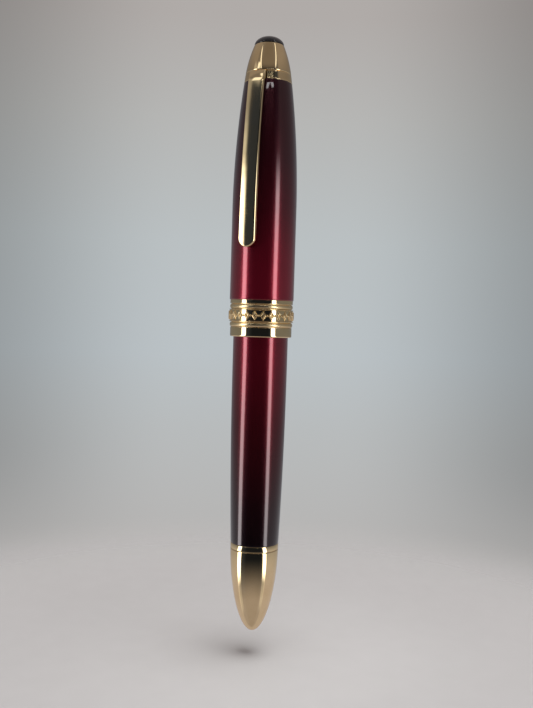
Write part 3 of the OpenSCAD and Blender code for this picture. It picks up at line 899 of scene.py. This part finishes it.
def feed():
    """Ebonite feed: a round tail, then fins that follow the underside of the nib."""
    low, high = node_low["feed"].z, node_high["feed"].z
    tail_r, tail_end = TANG_R - NIB_SHEET - 0.03, NIB_BASE + 0.3
    fins, pitch, fin, fin_r, fin_taper = 15, 0.78, 0.36, 3.2, 0.085
    core_r, core_taper = 2.35, 1.3
    start, nose = NIB_BASE + 1.4, high - 1.0

    def core(z):
        return core_r - core_taper * (z - NIB_BASE) / (high - NIB_BASE)

    outline = [(0.0, low), (tail_r - 0.3, low), (tail_r, low + 0.3), (tail_r, tail_end)]
    outline.append((core(tail_end + 0.01), tail_end + 0.01))
    for i in range(fins):
        z = start + pitch * i
        r = fin_r - fin_taper * i
        outline += [(core(z), z), (r - 0.06, z + 0.01), (r, z + 0.07), (r, z + fin - 0.07),
                    (r - 0.06, z + fin - 0.01), (core(z), z + fin)]
    outline += [(core(z), z) for z in span(start + pitch * fins, nose, 8)]
    outline += [(core(nose) * math.cos(math.radians(a)), nose + math.sin(math.radians(a)))
                for a in span(15, 75, 5)]
    outline.append((0.0, high))

    def under_nib(angle, radius, height):
        curve, centre = nib_curve(height)
        inside = curve - NIB_SHEET - 0.05
        c = math.cos(angle)
        room = -c * centre + math.sqrt(max(0.0, inside ** 2 - centre ** 2 * (1 - c * c)))
        return max(0.05, min(radius, room))

    lathe("feed_body", outline, "barrel", "ebonite", ("feed",), segments=96,
          shape=under_nib, sharp=35.0)


# ---------------------------------------------------------------- inside of the cap

def cap_liner():
    """Inner cap: a smooth cup whose mouth shows when the cap is off."""
    outer = smoothed(cad_outline("inner_cap")[:-1])
    low, high = outer[0][1], node_high["inner_cap"].z
    seat = NIB_BASE + 0.6
    roof = high - 0.6
    roof_r, bore, mouth_r = 4.4, 5.0, 6.2
    outline = (
        [(0.0, roof), (roof_r, roof), (roof_r + 0.2, roof - 0.2), (bore, high - 3.2)]
        + [(bore, seat + 0.2), (bore + 0.2, seat), (mouth_r, seat)]
        + [(mouth_r, low + 0.2), (mouth_r + 0.2, low), (outer[0][0] - 0.1, low)]
        + [(r, max(z, low + 0.1)) for r, z in outer]
        + [(outer[-1][0] - 0.3, high), (0.0, high)]
    )
    return lathe("inner_cap_liner", outline, "inner_cap", "liner", ("inner_cap",), sharp=40.0)


def mouth_bush():
    """Brass bush in the cap's mouth with the inner thread."""
    low, high = node_low["cap_thread_bush"].z, node_high["cap_thread_bush"].z
    step = node_low["cap_shell"].z + 0.05
    wide, narrow = node_high["cap_thread_bush"].x, BAND_BORE - 0.02
    crest, root = 6.45, 6.75
    outline = (
        [(crest + 0.2, low), (narrow, low), (narrow, step), (wide, step), (wide, high), (crest, high)]
        + [(root, z) for z in span(high - 0.8, low + 0.6, 110)]
    )
    shape = cap_thread_shape(root, crest, low + 0.7, high - 0.9)
    return lathe("cap_mouth_thread", outline, "cap", "brass_works", ("cap_thread_bush",),
                 segments=180, shape=shape, sharp=60.0)


lacquered_tube("barrel_lacquer", "barrel_shell", "barrel", 0.55)
lacquered_tube("cap_lacquer", "cap_shell", "cap", 0.6)
knob()
barrel_ring()
plain_band("lip_band", "lip_ring", 0.30, 0.06, node_high["barrel_shell"].x + 0.08)
band_bead("lower_band_bead", "lower_bead")
frieze()
band_bead("upper_band_bead", "upper_bead")
plain_band("top_band", "top_ring", 0.06, 0.12, BAND_BORE)
crown_pieces()
clip_collar()
clip_spring()
clip_foot()
screw_collar()
drive_spindle()
ink_chamber()
window_stripes()
grip_section()
nib()
nib_pellet()
feed()
cap_liner()
mouth_bush()


# ---------------------------------------------------------------- camera

AZIMUTH = math.radians(26.5)
TO_CAMERA = Vector((math.sin(AZIMUTH), -math.cos(AZIMUTH), 0.0))
TO_RIGHT = Vector((math.cos(AZIMUTH), math.sin(AZIMUTH), 0.0))


def photo_camera():
    """The camera close in front of the pen, turned slightly so that the pen leans right."""
    distance, height = 0.216, 0.07806
    pitch, yaw, roll = (math.radians(a) for a in (2.4, 0.42, 1.75))
    level = -TO_CAMERA * math.cos(yaw) + TO_RIGHT * math.sin(yaw)
    side = TO_RIGHT * math.cos(yaw) + TO_CAMERA * math.sin(yaw)
    forward = level * math.cos(pitch) - Vector((0, 0, 1)) * math.sin(pitch)
    up = side.cross(forward)
    right = side * math.cos(roll) + up * math.sin(roll)
    up = up * math.cos(roll) - side * math.sin(roll)
    data = bpy.data.cameras.new("photo_camera")
    data.lens = 44.6
    data.clip_start = 0.005
    camera = bpy.data.objects.new("photo_camera", data)
    scene.collection.objects.link(camera)
    turn = Matrix((right, up, -forward)).transposed().to_4x4()
    camera.matrix_world = Matrix.Translation(TO_CAMERA * distance + Vector((0, 0, height))) @ turn
    scene.camera = camera


# ---------------------------------------------------------------- light

def room_light(nodes, azimuth, elevation):
    """The room: grey at the sides, lighter below and overhead, dark and cool elsewhere."""
    sides = nodes.math("ADD", nodes.ease(azimuth, -54.0, -76.0), nodes.ease(azimuth, 42.0, 57.0))
    grey = nodes.math("ADD", 0.16, nodes.ease(elevation, -7.0, -22.0, 0.0, 0.31))
    grey = nodes.math("ADD", grey, nodes.ease(elevation, 20.0, 40.0, 0.0, 0.10))
    room = nodes.math("MULTIPLY", sides, grey)
    room = nodes.math("MAXIMUM", room, nodes.ease(elevation, -18.0, -42.0, 0.0, 0.37))
    room = nodes.math("MAXIMUM", room, nodes.ease(elevation, 28.0, 39.0, 0.0, 0.18))
    tint = nodes.ramp(nodes.math("MULTIPLY_ADD", elevation, 1 / 90, 0.5), [
        (0.20, (1.0, 0.90, 0.93)),
        (0.40, (1.0, 0.985, 0.96)),
        (0.62, (1.0, 0.985, 0.96)),
        (0.80, (1.0, 0.84, 0.74)),
    ])
    near = nodes.math("ADD", nodes.ease(azimuth, -30.0, -52.0), nodes.ease(azimuth, 28.0, 38.0))
    glow = nodes.math("MULTIPLY_ADD", near, 0.026, 0.012)
    return nodes.both(nodes.background(room, tint), nodes.background(glow, (0.82, 1.0, 1.45, 1.0)))


def lamp_light(nodes, azimuth, elevation):
    """Upright strip lights at both sides, fainter ones above them, and a ceiling lamp."""
    def lamp(az, el, power, soft=3.0, fade=3.0, lean=0.0):
        """A lamp over these azimuths and elevations; lean turns it aside as it rises."""
        start = nodes.math("ADD", azimuth, lean * el[0])
        across = nodes.math("MULTIPLY_ADD", elevation, -lean, start)
        shape = nodes.math("MULTIPLY", nodes.within(across, *az, soft),
                           nodes.within(elevation, *el, fade))
        return nodes.math("MULTIPLY", shape, power)

    # The small ceiling lamp is two points that hang from one short bar
    aside = nodes.math("ABSOLUTE", nodes.math("SUBTRACT", azimuth, 9.0))
    outer = nodes.ease(nodes.math("MULTIPLY_ADD", elevation, 3.0, aside), 104.0, 101.5)
    inner = nodes.ease(nodes.math("MULTIPLY_ADD", elevation, 7.4, aside), 216.0, 219.0)
    ceiling = nodes.math("MULTIPLY", nodes.math("MULTIPLY", outer, inner),
                         nodes.within(elevation, 28.2, 29.7, 0.25))
    lamps = nodes.math("MULTIPLY", ceiling, 7.0)
    for light in (
        lamp((-75.0, -58.5), (-25.0, 13.0), 5.6, fade=4.5),
        lamp((39.5, 53.5), (-25.0, 13.0), 5.6, fade=4.5),
        lamp((-80.0, -60.0), (13.0, 21.0), 0.75, soft=2.0),
        lamp((-85.0, -61.0), (21.0, 34.0), 0.30, soft=2.0),
        lamp((-62.0, -50.0), (29.0, 37.0), 1.5, soft=2.0, fade=1.5),
        lamp((-78.0, -58.5), (-43.0, -25.0), 0.22, fade=6.0),
        lamp((39.5, 55.0), (-43.0, -25.0), 0.30, fade=6.0),
        lamp((-40.0, -34.0), (27.0, 52.0), 1.6, soft=2.0, lean=-0.95),
        lamp((36.0, 41.0), (34.0, 62.0), 1.8, soft=2.0, lean=0.83),
    ):
        lamps = nodes.math("ADD", lamps, light)
    return nodes.background(lamps, (0.8, 0.8, 0.8, 1.0))


def backdrop_light(nodes, behind, elevation):
    """What the camera sees: lighter at the foot, a little darker towards the picture's sides."""
    shade = nodes.ramp(nodes.math("MULTIPLY_ADD", elevation, 1 / 60, 0.5), [
        (0.02, (0.570, 0.560, 0.555)),
        (0.10, (0.700, 0.640, 0.632)),
        (0.15, (0.610, 0.578, 0.571)),
        (0.20, (0.527, 0.503, 0.497)),
        (0.26, (0.468, 0.458, 0.450)),
        (0.38, (0.478, 0.497, 0.503)),
        (0.46, (0.491, 0.533, 0.556)),
        (0.58, (0.491, 0.527, 0.540)),
        (0.71, (0.468, 0.468, 0.458)),
        (0.81, (0.434, 0.407, 0.392)),
    ], "LINEAR")
    aslant = nodes.math("ABSOLUTE", behind)
    edge = nodes.math("MULTIPLY", nodes.ease(aslant, 5.0, 21.0, 0.0, 0.42),
                      nodes.ease(aslant, 60.0, 30.0))
    edge = nodes.math("MULTIPLY", edge, nodes.ease(elevation, -20.0, -8.0))
    return nodes.background(nodes.math("SUBTRACT", 1.0, edge), shade)


def studio_world():
    """A dim room with upright strip lights, and a plain pale backdrop for the camera."""
    world = bpy.data.worlds.new("studio")
    scene.world = world
    world.use_nodes = True
    world.node_tree.nodes.clear()
    nodes = Nodes(world.node_tree)
    ray = nodes.add("ShaderNodeTexCoord").outputs["Generated"]
    ahead = nodes.dot(ray, TO_CAMERA)
    right = nodes.dot(ray, TO_RIGHT)
    elevation = nodes.math("DEGREES", nodes.math("ARCSINE", nodes.dot(ray, (0, 0, 1))))
    azimuth = nodes.math("DEGREES", nodes.math("ARCTAN2", right, ahead))
    behind = nodes.math("ARCTAN2", right, nodes.math("MULTIPLY", ahead, -1.0))
    behind = nodes.math("DEGREES", behind)
    # The room is wider at the foot
    azimuth = nodes.math("DIVIDE", azimuth, nodes.ease(elevation, -1.0, -27.0, 1.0, 1.2))
    lit = nodes.both(lamp_light(nodes, azimuth, elevation), room_light(nodes, azimuth, elevation))
    choose = nodes.add("ShaderNodeMixShader")
    nodes.put(nodes.add("ShaderNodeLightPath").outputs["Is Camera Ray"], choose.inputs[0])
    nodes.put(lit, choose.inputs[1])
    nodes.put(backdrop_light(nodes, behind, elevation), choose.inputs[2])
    nodes.put(choose.outputs[0], nodes.add("ShaderNodeOutputWorld").inputs["Surface"])


def soft_overhead():
    """Large soft light high above, for the floor and for gentle shadows."""
    data = bpy.data.lights.new("overhead", "AREA")
    data.shape = "DISK"
    data.size = 0.5
    data.energy = 3.9
    lamp = bpy.data.objects.new("overhead", data)
    lamp.location = (0.12, -0.05, 0.75)
    lamp.rotation_euler = (Vector((0, 0, 0.05)) - lamp.location).to_track_quat("-Z", "Y").to_euler()
    lamp.visible_glossy = False
    scene.collection.objects.link(lamp)


def pale_floor():
    """Round pale floor that fades into the backdrop, just below the knob when it is
    turned out. Shiny surfaces look past it."""
    under, top, reach = -7.0, -6.2, 300.0
    verts, faces = revolve([(0.0, under), (reach, under), (reach, top), (0.0, top)], 96)
    mesh = bpy.data.meshes.new("floor")
    mesh.from_pydata([(x * MM, y * MM, z * MM) for x, y, z in verts], [], faces)
    floor = bpy.data.objects.new("floor", mesh)
    scene.collection.objects.link(floor)
    floor.visible_glossy = False
    made, nodes, shader = material("pale_floor", Roughness=0.6)
    grain = nodes.noise(140.0, 5.0)
    nodes.put(nodes.mix(grain, (0.71, 0.70, 0.695, 1.0), (0.75, 0.74, 0.735, 1.0)),
              shader.inputs["Base Color"])
    split = nodes.add("ShaderNodeSeparateXYZ")
    nodes.put(nodes.place(), split.inputs[0])
    away = nodes.math("SQRT", nodes.math("ADD", nodes.math("POWER", split.outputs[0], 2.0),
                                         nodes.math("POWER", split.outputs[1], 2.0)))
    nodes.put(nodes.ease(away, 0.16, 0.02), shader.inputs["Alpha"])
    mesh.materials.append(made)


photo_camera()
studio_world()
soft_overhead()
pale_floor()
scene.view_settings.view_transform = "Standard"
